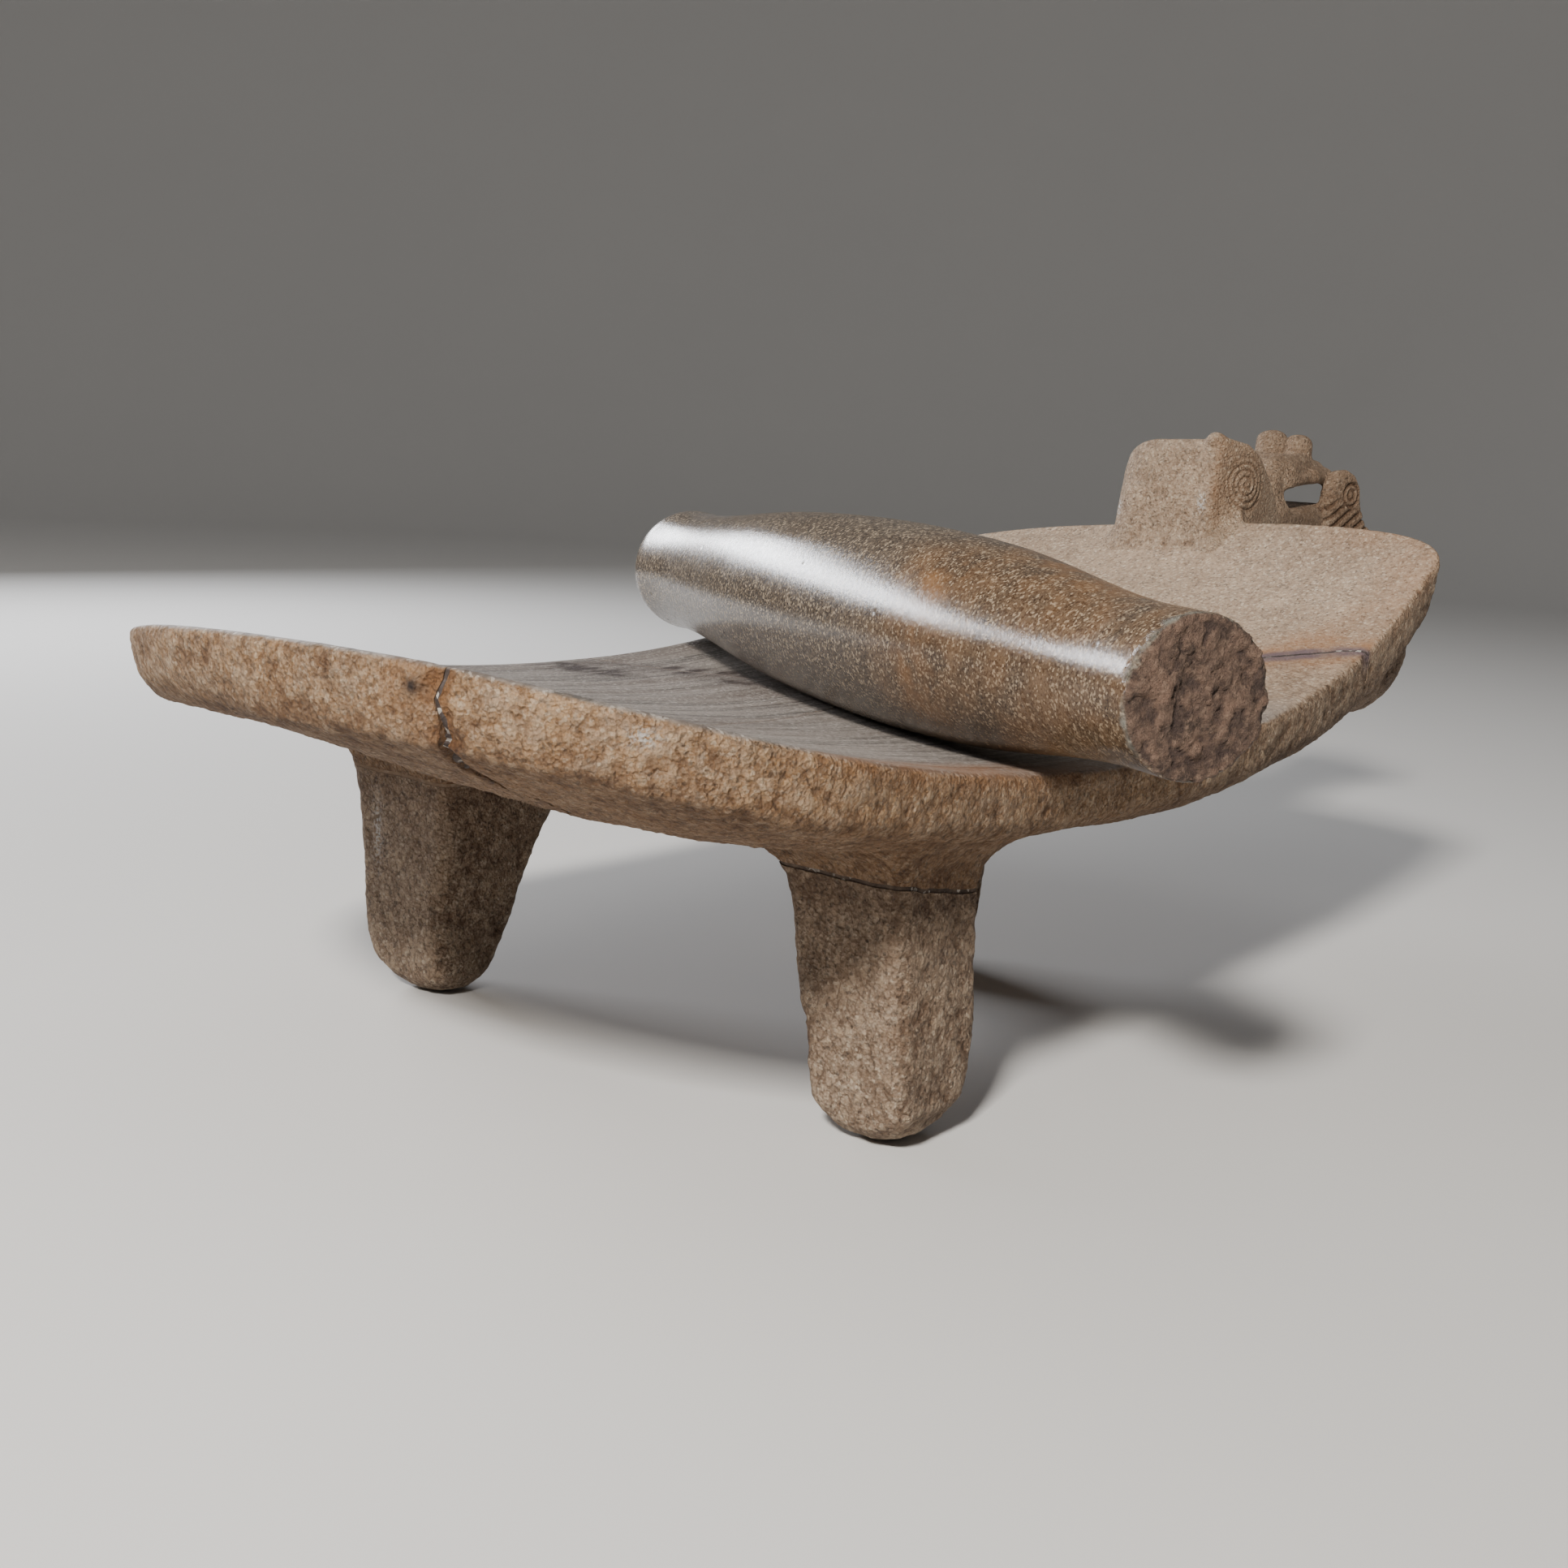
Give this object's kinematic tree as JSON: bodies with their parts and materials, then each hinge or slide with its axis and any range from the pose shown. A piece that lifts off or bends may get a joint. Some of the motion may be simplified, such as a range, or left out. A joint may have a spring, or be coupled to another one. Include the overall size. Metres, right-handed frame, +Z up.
{
  "type": "metate grinding stone",
  "caption": "Tripod stone grinding table with a long curved plate, an animal head carved at one end, mended breaks, and a loose spindle-shaped hand stone lying across it",
  "frame": {"origin": "On the surface the feet stand on, under the middle of the whole footprint, hand stone and head included", "axes": "+X towards the carved head, along the length of the table; +Y across the table; +Z up"},
  "size_m": [0.82, 0.4238, 0.2682],
  "materials": {
    "plate_head_end": "finely pecked volcanic stone, ground smooth on top",
    "plate_near_left": "coarsely pecked edges, ground smooth on top",
    "plate_near_right": "coarsely pecked edges, ground smooth on top",
    "fill": "dull purplish grey fill",
    "leg_fill": "dark dull fill",
    "legs": "pecked brown volcanic stone",
    "head": "finely pecked and carved volcanic stone",
    "mano": "polished speckled brown-grey stone, one end a rough old break"
  },
  "bodies": {
    "metate": {"plate_head_end": "plate_head_end", "plate_near_left": "plate_near_left", "plate_near_right": "plate_near_right", "seam_fill_diagonal": "fill", "seam_fill_near": "fill", "leg_near_left": "legs", "seam_leg_near_left": "leg_fill", "leg_near_right": "legs", "seam_leg_near_right": "leg_fill", "leg_head_end": "legs", "head_effigy": "head"},
    "mano": {"mano": "mano"}
  },
  "joints": [
    {"name": "mano_stroke", "type": "hinge", "parent": "metate", "child": "mano", "pos_m": [-0.1192, 0.00216, 1.0519], "axis": [0, 1, 0], "range_deg": [-5, 12]}
  ]
}
